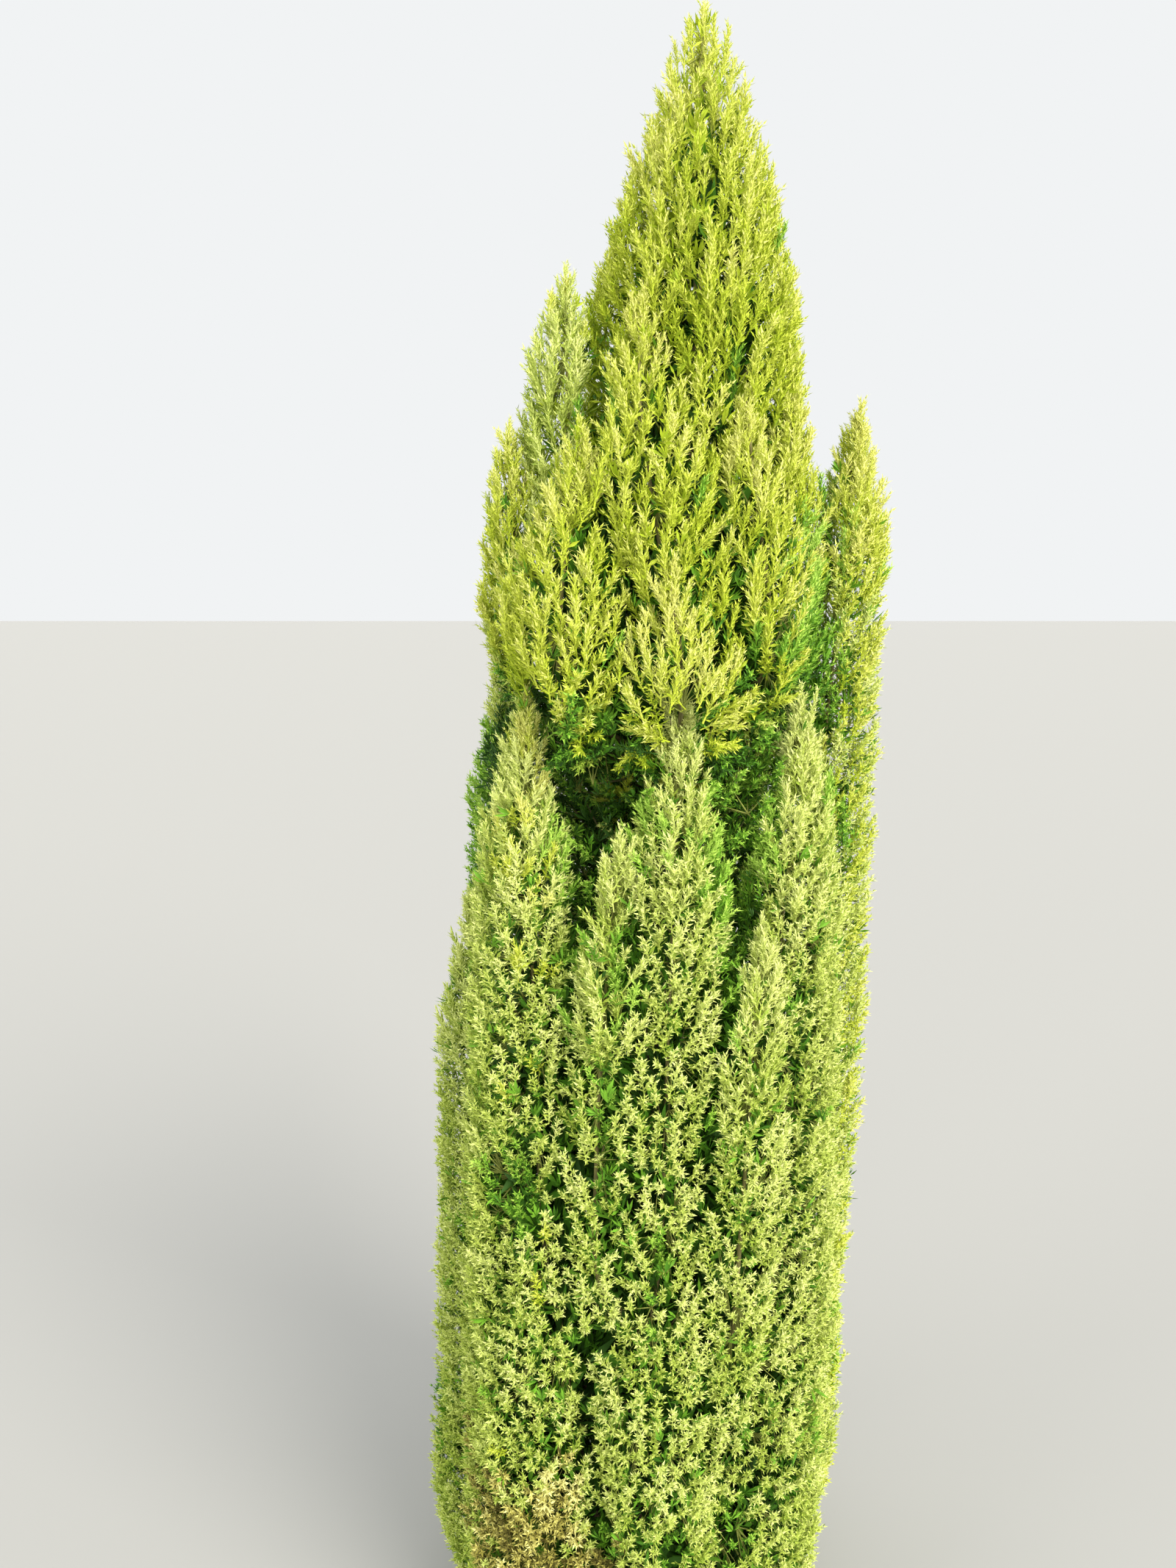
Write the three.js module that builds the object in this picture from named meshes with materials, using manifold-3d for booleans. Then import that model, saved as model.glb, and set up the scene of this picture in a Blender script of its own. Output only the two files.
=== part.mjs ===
// A golden columnar cypress of about 2.1 m: its trunk, the boughs at its foot and its masses of foliage.
// Millimetres, +Z up. The origin is the middle of the trunk's flat cut at ground level, and -Y is the front.
import * as THREE from "three";
import { mergeVertices } from "three/addons/utils/BufferGeometryUtils.js";
import Module from "manifold-3d";

const wasm = await Module();
wasm.setup();
const { smoothstep, lerp } = THREE.MathUtils;

// The trunk stands upright to the waist, leans right through the middle and is upright again at the tip.
const trunkHeight = 2122;
const trunkLean = 66;
const leanFrom = 500;
const leanTo = 1800;
const trunkSway = 6;
const trunkRadius = 31;
const trunkTipRadius = 2.2;
const trunkTaperPower = 0.9;
const rootFlare = 21;
const flareHeight = 85;
const rootLobes = 5;
const trunkSides = 15;
const trunkRings = 24;

// Masses keep this gap to what they were cut round.
const gap = 0.5;
const sliver = 0.08;
const massSides = 12;
const massRings = 10;
const massTipRadius = 2.5;
const skirtHeight = 150;
const skirtTuck = 0.34;

// Foliage stays off the ground round the foot of the trunk, where the boughs leave it.
const clearingRadius = 172;
const clearingHeight = 330;

const boughSides = 8;
const boughRings = 6;
const boughBase = 11;
const boughTip = 6.5;
const boughRise = 420;
const boughReach = 0.8;
const boughFirst = 62;
const boughSpacing = 13;

// One mass: the middle of its foot, its tip, its radius low down and near the tip, how long its point is,
// how blunt that point is, and how soon it narrows on the way up.
const crown = [
  { name: "main_spire", foot: [54, 0, 1170], tip: [66, 0, 2140], low: 128, high: 124, point: 340, blunt: 0.76 },
  { name: "left_front_spire", foot: [-112, -138, 16], tip: [-138, -132, 1374], low: 114, high: 58, point: 270 },
  { name: "centre_front_spire", foot: [10, -178, 18], tip: [40, -186, 1376], low: 104, high: 46, point: 230 },
  { name: "right_front_spire", foot: [130, -138, 16], tip: [182, -128, 1374], low: 110, high: 42, point: 210 },
  { name: "right_spire", foot: [172, -8, 16], tip: [262, 0, 1704], low: 104, high: 46, point: 150, late: 1.4 },
  { name: "left_spire", foot: [-176, -8, 16], tip: [-206, -6, 1122], low: 110, high: 44, point: 200, late: 1.5 },
  { name: "left_back_spire", foot: [-130, 122, 16], tip: [-166, 66, 1424], low: 106, high: 42, point: 190 },
  { name: "back_left_spire", foot: [-24, 182, 18], tip: [-62, 172, 1530], low: 106, high: 54, point: 230 },
  { name: "back_right_spire", foot: [92, 164, 16], tip: [122, 160, 1612], low: 108, high: 46, point: 220 },
  { name: "right_back_spire", foot: [160, 90, 18], tip: [206, 98, 1448], low: 104, high: 46, point: 200 },
  { name: "left_upper_spire", foot: [-62, -46, 1262], tip: [-91, -30, 1852], low: 96, high: 26, point: 84, late: 1.3 },
  { name: "left_shoulder", foot: [-104, -34, 1322], tip: [-158, -40, 1678], low: 70, high: 24, point: 100 },
  { name: "front_shoulder", foot: [36, -92, 1268], tip: [-4, -96, 1820], low: 116, high: 46, point: 190 },
  { name: "right_shoulder", foot: [124, -30, 1286], tip: [150, -58, 1800], low: 92, high: 42, point: 210 },
  { name: "back_shoulder", foot: [34, 84, 1270], tip: [42, 82, 1862], low: 120, high: 52, point: 220 },
  { name: "small_front_spire", foot: [-44, -196, 560], tip: [-28, -208, 1224], low: 66, high: 38, point: 180 },
  { name: "small_right_spire", foot: [92, -204, 470], tip: [136, -206, 1120], low: 66, high: 40, point: 190 },
  { name: "left_front_shoulder", foot: [-78, -126, 1292], tip: [-70, -140, 1672], low: 92, high: 40, point: 170 },
  { name: "right_front_shoulder", foot: [122, -112, 1316], tip: [112, -112, 1708], low: 78, high: 40, point: 180 },
  { name: "low_front_shoulder", foot: [34, -150, 1286], tip: [26, -176, 1566], low: 88, high: 44, point: 150 },
];
// The masses that a bough at the foot of the tree carries, in the order that the boughs leave the trunk.
const carried = [
  "left_front_spire", "right_back_spire", "centre_front_spire", "back_left_spire", "right_spire",
  "left_spire", "back_right_spire", "right_front_spire", "left_back_spire",
];

const bark = new THREE.MeshStandardMaterial({ color: 0x7a5c44, roughness: 0.92, metalness: 0 });
const foliage = new THREE.MeshStandardMaterial({ color: 0xa3bf34, roughness: 0.75, metalness: 0 });
const innerFoliage = new THREE.MeshStandardMaterial({ color: 0x8fae38, roughness: 0.8, metalness: 0 });

function trunkAt(z) {
  const x = trunkLean * smoothstep(z, leanFrom, leanTo);
  const y = trunkSway * Math.sin((2 * Math.PI * z) / trunkHeight);
  return new THREE.Vector3(x, y, z);
}

function trunkRadiusAt(z) {
  const taper = lerp(trunkRadius, trunkTipRadius, (z / trunkHeight) ** trunkTaperPower);
  return taper + rootFlare * Math.exp((-3 * z) / flareHeight);
}

// A closed solid of rings: each ring's middle and each point's place come from the share along it and its angle.
function loft(sides, rings, place) {
  const wall = Array.from({ length: rings + 1 }, (_, i) => new THREE.Vector2(1, i / rings));
  const profile = [new THREE.Vector2(0, 0), ...wall, new THREE.Vector2(0, 1)];
  const geometry = new THREE.LatheGeometry(profile, sides);
  const position = geometry.attributes.position;
  for (let i = 0; i < position.count; i++) {
    const outward = Math.hypot(position.getX(i), position.getZ(i));
    const angle = Math.atan2(position.getX(i), position.getZ(i));
    const point = place(position.getY(i), angle, Math.round(outward));
    position.setXYZ(i, point.x, point.y, point.z);
  }
  return geometry;
}

function solidOf(geometry) {
  geometry.deleteAttribute("normal");
  geometry.deleteAttribute("uv");
  const merged = mergeVertices(geometry, 1e-3);
  const vertProperties = merged.attributes.position.array;
  const triVerts = new Uint32Array(merged.index.array);
  return new wasm.Manifold(new wasm.Mesh({ numProp: 3, vertProperties, triVerts }));
}

function geometryOf(solid) {
  const { vertProperties, triVerts } = solid.getMesh();
  const geometry = new THREE.BufferGeometry();
  geometry.setAttribute("position", new THREE.BufferAttribute(vertProperties, 3));
  geometry.setIndex(new THREE.BufferAttribute(triVerts, 1));
  geometry.computeVertexNormals();
  return geometry;
}

// Offcuts that a neighbour leaves loose are dropped.
function largestBody(solid) {
  const bodies = solid.decompose();
  return bodies.reduce((best, body) => (body.volume() > best.volume() ? body : best)).simplify(sliver);
}

// The trunk is a little lobed where its roots start, and round above.
function trunkSolid(grown = 0) {
  return solidOf(
    loft(trunkSides, trunkRings, (share, angle, outward) => {
      const z = trunkHeight * share ** 1.6;
      const lobe = 1 + 0.16 * Math.exp(-z / (0.6 * flareHeight)) * Math.cos(rootLobes * angle);
      const radius = outward * (trunkRadiusAt(z) * lobe + grown);
      const middle = trunkAt(z);
      middle.z += grown * (2 * share - 1);
      return middle.add(new THREE.Vector3(radius * Math.cos(angle), radius * Math.sin(angle), 0));
    }),
  );
}

// The lumps that side sprays give a mass, as a share of its radius. Each mass starts them at its own turn.
function unevenness(angle, share, turn) {
  const slow = 0.055 * Math.sin(2 * angle + 5 * share + turn);
  const middling = 0.045 * Math.sin(3 * angle - 11 * share + 2.3 * turn);
  const quick = 0.035 * Math.sin(5 * angle + 19 * share + 3.7 * turn);
  return 1 + slow + middling + quick;
}

function massRadiusAt(mass, share, height) {
  const fromTip = height * (1 - share);
  const fromFoot = height * share;
  const body = lerp(mass.low, mass.high, share ** (mass.late ?? 2));
  const pointed = Math.min(1, fromTip / mass.point) ** (mass.blunt ?? 0.68);
  const tucked = 1 - skirtTuck * (1 - Math.min(1, fromFoot / skirtHeight)) ** 2;
  return Math.max(massTipRadius, body * pointed * tucked);
}

function massSolid(mass, grown = 0) {
  const turn = crown.indexOf(mass) * 1.7;
  const foot = new THREE.Vector3(...mass.foot);
  const tip = new THREE.Vector3(...mass.tip);
  const height = tip.z - foot.z;
  return solidOf(
    loft(massSides, massRings, (at, angle, outward) => {
      const share = lerp(at, Math.sin((at * Math.PI) / 2), 0.75);
      const middle = foot.clone().lerp(tip, share);
      middle.z += grown * (2 * share - 1);
      const radius = outward * (massRadiusAt(mass, share, height) * unevenness(angle, share, turn) + grown);
      return middle.add(new THREE.Vector3(radius * Math.cos(angle), radius * Math.sin(angle), 0));
    }),
  );
}

function clearingSolid() {
  const below = 40;
  const cone = new THREE.ConeGeometry(clearingRadius, clearingHeight, 20);
  cone.rotateX(Math.PI / 2);
  cone.translate(0, 0, clearingHeight / 2 - below);
  return solidOf(cone);
}

// A bough leaves the trunk a little above the ground and turns up into its mass.
function boughSolid(mass, order, grown = 0) {
  const leaves = boughFirst + order * boughSpacing;
  const from = trunkAt(leaves);
  const over = new THREE.Vector3(mass.foot[0] * 0.62, mass.foot[1] * 0.62, leaves + 55);
  const into = new THREE.Vector3(mass.foot[0] * boughReach, mass.foot[1] * boughReach, leaves + boughRise);
  const curve = new THREE.QuadraticBezierCurve3(from, over, into);
  const frames = curve.computeFrenetFrames(boughRings);
  return solidOf(
    loft(boughSides, boughRings, (share, angle, outward) => {
      const ring = Math.round(share * boughRings);
      const radius = outward * (lerp(boughBase, boughTip, share) + grown);
      const across = frames.normals[ring].clone().multiplyScalar(radius * Math.cos(angle));
      const along = frames.binormals[ring].clone().multiplyScalar(radius * Math.sin(angle));
      return curve.getPointAt(share).add(across).add(along);
    }),
  );
}

const tree = new THREE.Group();

function addPiece(name, solid, material) {
  const piece = new THREE.Mesh(geometryOf(solid), material);
  piece.name = name;
  tree.add(piece);
}

addPiece("trunk", trunkSolid(), bark);

// Each mass is cut round the trunk, the clearing at its foot and the masses before it.
let taken = trunkSolid(gap).add(clearingSolid());
const grownMasses = new Map();
for (const mass of crown) {
  const fromGround = mass.foot[2] < clearingHeight;
  addPiece(mass.name, largestBody(massSolid(mass).subtract(taken)), fromGround ? innerFoliage : foliage);
  grownMasses.set(mass.name, massSolid(mass, gap).subtract(clearingSolid()));
  taken = taken.add(massSolid(mass, gap));
}

// Each bough is what shows between the trunk and its mass.
let before = trunkSolid(gap);
for (const [order, name] of carried.entries()) {
  const mass = crown.find((one) => one.name === name);
  let bough = boughSolid(mass, order).subtract(before);
  for (const grown of grownMasses.values()) bough = bough.subtract(grown);
  addPiece(name.replace("spire", "bough"), largestBody(bough), bark);
  before = before.add(boughSolid(mass, order, gap));
}

export default tree;
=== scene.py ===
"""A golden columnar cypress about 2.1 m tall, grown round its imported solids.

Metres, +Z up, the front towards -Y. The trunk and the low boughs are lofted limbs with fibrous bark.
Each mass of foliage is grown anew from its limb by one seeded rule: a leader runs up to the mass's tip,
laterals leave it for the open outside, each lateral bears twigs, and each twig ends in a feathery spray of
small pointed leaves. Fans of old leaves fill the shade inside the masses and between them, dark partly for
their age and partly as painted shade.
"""
import math

import bpy
import numpy as np
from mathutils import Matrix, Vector
from mathutils.bvhtree import BVHTree
from mathutils.kdtree import KDTree


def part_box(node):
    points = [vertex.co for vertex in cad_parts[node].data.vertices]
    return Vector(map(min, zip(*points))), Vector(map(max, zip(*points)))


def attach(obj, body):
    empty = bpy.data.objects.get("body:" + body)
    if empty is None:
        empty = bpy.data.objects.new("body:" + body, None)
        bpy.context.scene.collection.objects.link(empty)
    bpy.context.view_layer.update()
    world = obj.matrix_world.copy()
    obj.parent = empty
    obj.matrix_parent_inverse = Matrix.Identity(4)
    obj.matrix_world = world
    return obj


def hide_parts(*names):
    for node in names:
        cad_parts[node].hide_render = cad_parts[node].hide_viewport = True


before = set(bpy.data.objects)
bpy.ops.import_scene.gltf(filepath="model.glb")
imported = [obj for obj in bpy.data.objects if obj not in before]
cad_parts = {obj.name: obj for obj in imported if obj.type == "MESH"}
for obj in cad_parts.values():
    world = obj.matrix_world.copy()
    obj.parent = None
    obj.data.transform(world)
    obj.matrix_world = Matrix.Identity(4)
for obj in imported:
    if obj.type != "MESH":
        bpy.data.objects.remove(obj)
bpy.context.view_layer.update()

# Every random draw starts from this seed, with one of these added for what it grows
SEED = 41
OUTSIDE_SEED = SEED + 7
COLLAR_SEED = SEED + 13
GAP_SEED = SEED + 17
STYLE_SEED_STEP = 100
FAN_SEED = SEED + 999

# The photograph's frame and the view it was taken from
PHOTO_HIGH = 2133
FOCAL_PIXELS = 1602
SENSOR_MM = 36
CAMERA_AT = (-0.064, -1.49, 1.55)
CAMERA_DOWN = 12
# Where the lights stand: the key to the right of the camera, as the photograph's sun, and weak fills round it
KEY_FROM = (0.66, -0.72, 0.66)
FILL_FROM = (0.50, -0.90, 0.25)
LEFT_FROM = (-0.85, -0.50, 0.45)
BACK_FROM = (-0.3, 1.0, 0.6)

# Tints of the leaves, each list from the newest shoots to the oldest, later steps serving also as painted
# shade:
# golden ones for the upper crown and the sunny tips, softer and paler ones for the lower crown, vivid green
# ones for the shade, partly the plant's greener shade growth and partly painted shade, and the dead patch's
TINTS = {
    "golden_scale_leaves": ["#DEE07C", "#CFD85C", "#C5D144", "#B9C932", "#AABE26", "#99B01C", "#829E16"],
    "soft_green_needles": ["#DCE48C", "#CBD774", "#BDCC60", "#ABBE49", "#93AC37", "#6E9024", "#4A6C16"],
    "vivid_green_shaded_leaves": ["#B2D458", "#90BC3A", "#6EA226", "#4A7E16", "#2C520C"],
    "dry_straw_needles": ["#E2DE8E", "#C9C26C", "#A19A46", "#686226"],
}
# How golden a mass is: a spray is golden where this, with what its place adds, passes GOLDEN_FROM
GOLDEN = {
    "main_spire": 0.95, "left_upper_spire": -0.10, "left_shoulder": 0.45, "front_shoulder": 0.90,
    "right_shoulder": 0.75, "back_shoulder": 0.90, "left_front_shoulder": 1.00, "right_front_shoulder": 0.70,
    "low_front_shoulder": 0.85, "right_spire": 0.40, "left_front_spire": 0.12,
}
OTHERS_GOLDEN = -1
GOLDEN_FROM = 0.5

UPPER_MASSES = [
    "main_spire", "left_upper_spire", "left_shoulder", "front_shoulder", "right_shoulder", "back_shoulder",
    "left_front_shoulder", "right_front_shoulder", "low_front_shoulder",
]
LOWER_MASSES = [
    "left_front_spire", "centre_front_spire", "right_front_spire", "right_spire", "left_spire",
    "left_back_spire", "back_left_spire", "back_right_spire", "right_back_spire",
    "small_front_spire", "small_right_spire",
]
# The limb that a mass with no bough of its own branches from
SIDE_LIMBS = {"small_front_spire": "centre_front_spire", "small_right_spire": "right_front_spire"}

# The masses on low boughs, in the order that these leave the trunk, with the middle of each mass's foot
BOUGH_FEET = {
    "left_front_spire": (-0.112, -0.138), "right_back_spire": (0.160, 0.090),
    "centre_front_spire": (0.010, -0.178), "back_left_spire": (-0.024, 0.182), "right_spire": (0.172, -0.008),
    "left_spire": (-0.176, -0.008), "back_right_spire": (0.092, 0.164), "right_front_spire": (0.130, -0.138),
    "left_back_spire": (-0.130, 0.122),
}
# A bough's route: how high the first leaves the trunk and each later one above it, how far it rises where it
# turns up and at its end, and its reach at both as a share of the way to its mass's foot
BOUGH_FIRST = 0.062
BOUGH_SPACING = 0.013
BOUGH_TURN_RISE = 0.055
BOUGH_TURN_REACH = 0.62
BOUGH_RISE = 0.420
BOUGH_REACH = 0.8
BOUGH_RADII = np.linspace(0.011, 0.0065, 13)
BOUGH_HIDDEN = 0.03
# How far the trunk's mesh is made below its cut
CUT_SPARE = 0.012
# How many points the lines up the trunk and up a mass have
TRUNK_POINTS = 40
SPINE_POINTS = 14
# The hidden limb up the middle of a mass: how far under the mass's foot it leaves another limb, how far above
# a bough's end it meets the middle, its radii, and how far it stops short of the tip
LEADER_BELOW = 0.05
LEADER_ABOVE = 0.08
LEADER_BASE = 0.0052
LEADER_TIP = 0.0012
LEADER_SHORT = 0.03
# Sides round a limb, how often its rings are halved, and how deep its furrows are
TRUNK_BARK = {"sides": 20, "levels": 2, "relief": 0.003}
BOUGH_BARK = {"sides": 10, "levels": 2, "relief": 0.0015}
LEADER_BARK = {"sides": 6, "levels": 1, "relief": 0.0008}
FURROW_SIZE = (0.006, 0.006, 0.05)


# Camera, floor and lights

def add_camera():
    data = bpy.data.cameras.new("camera")
    data.sensor_width = SENSOR_MM
    data.lens = SENSOR_MM * FOCAL_PIXELS / PHOTO_HIGH
    camera = bpy.data.objects.new("camera", data)
    camera.location = CAMERA_AT
    camera.rotation_euler = (math.radians(90 - CAMERA_DOWN), 0, 0)
    bpy.context.scene.collection.objects.link(camera)
    bpy.context.scene.camera = camera


def linear(hex_colour):
    """An sRGB hex colour as linear red, green, blue and alpha."""
    parts = [int(hex_colour[i:i + 2], 16) / 255 for i in (1, 3, 5)]
    return (*[c / 12.92 if c <= 0.04045 else ((c + 0.055) / 1.055) ** 2.4 for c in parts], 1)


def add_node(tree, kind, sockets=(), links=(), **settings):
    """Adds a node, gives its fields and sockets their values and links its inputs to other nodes' outputs."""
    node = tree.nodes.new(kind)
    for field, value in settings.items():
        setattr(node, field, value)
    for socket, value in dict(sockets).items():
        node.inputs[socket].default_value = value
    for socket, output in dict(links).items():
        tree.links.new(output, node.inputs[socket])
    return node


def new_material(name, inputs):
    """A material whose shader has these inputs, with its node tree and its shader."""
    material = bpy.data.materials.new(name)
    material.use_nodes = True
    shader = material.node_tree.nodes["Principled BSDF"]
    for socket, value in inputs.items():
        shader.inputs[socket].default_value = value
    return material, material.node_tree, shader


def add_floor():
    bpy.ops.object.select_all(action="DESELECT")
    bpy.ops.mesh.primitive_plane_add(size=40, location=(0, 0, 0))
    floor = bpy.context.object
    floor.name = "floor"
    paint = new_material("matt_pale_floor_paint", {"Base Color": linear("#9C9C9A"), "Roughness": 0.9})[0]
    floor.data.materials.append(paint)


def add_sun(name, towards, strength, softness, colour):
    """A soft distant light that shines from that way."""
    data = bpy.data.lights.new(name, "SUN")
    data.energy = strength
    data.angle = math.radians(softness)
    data.color = linear(colour)[:3]
    light = bpy.data.objects.new(name, data)
    light.location = (0, 0, 4)
    light.rotation_euler = Vector(towards).to_track_quat("Z", "Y").to_euler()
    bpy.context.scene.collection.objects.link(light)


def add_lights():
    add_sun("key_light", KEY_FROM, 3.35, 34, "#FFF9EE")
    add_sun("front_fill_light", FILL_FROM, 2.4, 120, "#FFFDF6")
    add_sun("left_fill_light", LEFT_FROM, 0.8, 30, "#FFFDF6")
    add_sun("back_fill_light", BACK_FROM, 1.4, 100, "#FFFDF6")
    world = bpy.data.worlds.new("studio")
    world.use_nodes = True
    background = world.node_tree.nodes["Background"]
    background.inputs["Color"].default_value = linear("#F1F3F4")
    background.inputs["Strength"].default_value = 1.0
    bpy.context.scene.world = world
    bpy.context.scene.view_settings.view_transform = "Standard"


# Materials

def leaf_material(name, colour):
    """Waxy scale leaves: a plain tint, a soft waxy gloss and a fine relief of overlapping scales."""
    material, tree, shader = new_material(
        name, {"Base Color": linear(colour), "Roughness": 0.68, "IOR": 1.40})
    place = add_node(tree, "ShaderNodeTexCoord")
    scales = add_node(
        tree, "ShaderNodeTexNoise", {"Scale": 700, "Detail": 2}, {"Vector": place.outputs["Object"]})
    relief = add_node(
        tree, "ShaderNodeBump", {"Strength": 0.25, "Distance": 0.0004}, {"Height": scales.outputs["Fac"]})
    tree.links.new(relief.outputs["Normal"], shader.inputs["Normal"])
    return material


def bark_material(name, furrow_to_ridge, worn):
    """Fibrous cypress bark: dark in its furrows, worn in blotches, pale high up where it is young."""
    material, tree, shader = new_material(name, {"Roughness": 0.88})
    place = add_node(tree, "ShaderNodeTexCoord")
    upright = add_node(
        tree, "ShaderNodeMapping", {"Scale": (1, 1, 0.1)}, {"Vector": place.outputs["Object"]})
    strips = add_node(
        tree, "ShaderNodeTexNoise", {"Scale": 160, "Detail": 5, "Roughness": 0.6},
        {"Vector": upright.outputs["Vector"]})
    blotches = add_node(
        tree, "ShaderNodeTexNoise", {"Scale": 18, "Detail": 3}, {"Vector": place.outputs["Object"]})
    ramp = add_node(tree, "ShaderNodeValToRGB", links={"Fac": strips.outputs["Fac"]})
    ramp.color_ramp.elements[0].position = 0.34
    ramp.color_ramp.elements[0].color = linear(furrow_to_ridge[0])
    ramp.color_ramp.elements[1].position = 0.66
    ramp.color_ramp.elements[1].color = linear(furrow_to_ridge[2])
    middle = ramp.color_ramp.elements.new(0.5)
    middle.color = linear(furrow_to_ridge[1])
    weathered = add_node(
        tree, "ShaderNodeMix", {"B": linear(worn)},
        {"Factor": blotches.outputs["Fac"], "A": ramp.outputs["Color"]}, data_type="RGBA")
    height = add_node(tree, "ShaderNodeSeparateXYZ", links={"Vector": place.outputs["Object"]})
    youth = add_node(
        tree, "ShaderNodeMapRange", {"From Min": 1.62, "From Max": 1.95}, {"Value": height.outputs["Z"]})
    aged = add_node(
        tree, "ShaderNodeMix", {"B": linear("#C6BE7E")},
        {"Factor": youth.outputs["Result"], "A": weathered.outputs["Result"]}, data_type="RGBA")
    tree.links.new(aged.outputs["Result"], shader.inputs["Base Color"])
    relief = add_node(
        tree, "ShaderNodeBump", {"Strength": 0.8, "Distance": 0.0012}, {"Height": strips.outputs["Fac"]})
    tree.links.new(relief.outputs["Normal"], shader.inputs["Normal"])
    return material


def twig_material(name, colour):
    """Thin twigs, smooth and slightly glossy."""
    return new_material(name, {"Base Color": linear(colour), "Roughness": 0.7})[0]


# Limbs with bark relief

def limb_frames(path):
    """A turn for each point of the path that keeps its ring square to it, with no twist between rings."""
    steps = [Vector(b - a).normalized() for a, b in zip(path[:-1], path[1:])]
    ways = [steps[0]] + [(a + b).normalized() for a, b in zip(steps[:-1], steps[1:])] + [steps[-1]]
    turns = [Vector((0, 0, 1)).rotation_difference(ways[0])]
    for before, after in zip(ways[:-1], ways[1:]):
        turns.append(before.rotation_difference(after) @ turns[-1])
    return turns


def lofted_limb(name, path, radii, sides, levels, relief):
    """Rings bridged into a closed limb, then subdivided and given the long shallow furrows of its bark."""
    bpy.ops.object.select_all(action="DESELECT")
    turns = limb_frames(path)
    bpy.ops.mesh.primitive_circle_add(
        vertices=sides, radius=radii[0], location=path[0], rotation=turns[0].to_euler())
    limb = bpy.context.object
    limb.name = name
    bpy.ops.object.transform_apply(location=True, rotation=True, scale=True)
    bpy.ops.object.mode_set(mode="EDIT")
    for place, radius, turn in zip(path[1:], radii[1:], turns[1:]):
        bpy.ops.mesh.primitive_circle_add(
            vertices=sides, radius=radius, location=place, rotation=turn.to_euler())
    bpy.ops.mesh.select_all(action="SELECT")
    bpy.ops.mesh.bridge_edge_loops()
    bpy.ops.mesh.select_all(action="SELECT")
    bpy.ops.mesh.fill_holes(sides=0)
    bpy.ops.mesh.select_all(action="SELECT")
    bpy.ops.mesh.normals_make_consistent(inside=False)
    bpy.ops.object.mode_set(mode="OBJECT")
    rounding = limb.modifiers.new("rounding", "SUBSURF")
    rounding.levels = levels
    rounding.render_levels = levels
    bpy.ops.object.modifier_apply(modifier=rounding.name)
    furrow_scale = bpy.data.objects.new("furrow_scale", None)
    furrow_scale.scale = FURROW_SIZE
    bpy.context.scene.collection.objects.link(furrow_scale)
    bpy.context.view_layer.update()
    furrows = bpy.data.textures.new("furrows", "CLOUDS")
    furrows.noise_scale = 1.0
    furrows.noise_depth = 2
    furrowing = limb.modifiers.new("furrowing", "DISPLACE")
    furrowing.texture = furrows
    furrowing.texture_coords = "OBJECT"
    furrowing.texture_coords_object = furrow_scale
    furrowing.strength = relief
    furrowing.mid_level = 0.6
    bpy.ops.object.modifier_apply(modifier=furrowing.name)
    bpy.data.objects.remove(furrow_scale)
    return limb


def finish_limb(limb, node, material):
    """Gives a limb its bark and hides the solid that it stands for."""
    limb.data.materials.append(material)
    bpy.ops.object.select_all(action="DESELECT")
    limb.select_set(True)
    bpy.context.view_layer.objects.active = limb
    bpy.ops.object.shade_smooth()
    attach(limb, "root")
    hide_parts(node)


def flat_cut(limb):
    """Cuts the limb off level with the ground and closes the cut."""
    bpy.context.view_layer.objects.active = limb
    bpy.ops.object.mode_set(mode="EDIT")
    bpy.ops.mesh.select_all(action="SELECT")
    bpy.ops.mesh.bisect(plane_co=(0, 0, 0), plane_no=(0, 0, 1), clear_inner=True, use_fill=True)
    bpy.ops.object.mode_set(mode="OBJECT")


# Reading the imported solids

def solid_triangles(node):
    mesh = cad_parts[node].data
    mesh.calc_loop_triangles()
    points = np.empty(len(mesh.vertices) * 3, np.float32)
    mesh.vertices.foreach_get("co", points)
    corners = np.empty(len(mesh.loop_triangles) * 3, np.int32)
    mesh.loop_triangles.foreach_get("vertices", corners)
    return points.reshape(-1, 3).astype(float)[corners.reshape(-1, 3)]


def section_middle(triangles, height):
    """The middle of the outline that a solid has at that height, or None above and below it."""
    over = triangles[:, :, 2] - height
    crossing = (over.min(axis=1) < 0) & (over.max(axis=1) >= 0)
    if not crossing.any():
        return None
    middles = []
    lengths = []
    for corners, above in zip(triangles[crossing], over[crossing]):
        cuts = []
        for a, b in ((0, 1), (1, 2), (2, 0)):
            if (above[a] < 0) != (above[b] < 0):
                share = above[a] / (above[a] - above[b])
                cuts.append(corners[a] + share * (corners[b] - corners[a]))
        middles.append((cuts[0] + cuts[1]) / 2)
        lengths.append(np.linalg.norm(cuts[0] - cuts[1]))
    return np.average(middles, axis=0, weights=np.array(lengths) + 1e-9)


def section_radius(triangles, height, middle):
    """The mean distance of the solid's outline from that middle at that height."""
    over = triangles[:, :, 2] - height
    near = triangles[(over.min(axis=1) < 0) & (over.max(axis=1) >= 0)].reshape(-1, 3)
    return float(np.linalg.norm(near[:, :2] - middle[:2], axis=1).mean())


def spine_of(node, count):
    """The line up the middle of a solid, from its foot to its tip."""
    triangles = solid_triangles(node)
    low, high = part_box(node)
    heights = np.linspace(low.z + 0.012, high.z - 0.004, count)
    line = np.array([section_middle(triangles, h) for h in heights])
    for _ in range(2):
        line[1:-1] = (line[:-2] + 2 * line[1:-1] + line[2:]) / 4
    tip = triangles.reshape(-1, 3)
    tip = tip[tip[:, 2] > high.z - 1e-4].mean(axis=0)
    return np.vstack([line, tip])


def at_height(line, height):
    """The point of a rising line at that height, held to its ends."""
    z = np.maximum.accumulate(line[:, 2])
    return np.array([np.interp(height, z, line[:, k]) for k in range(3)])


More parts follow.
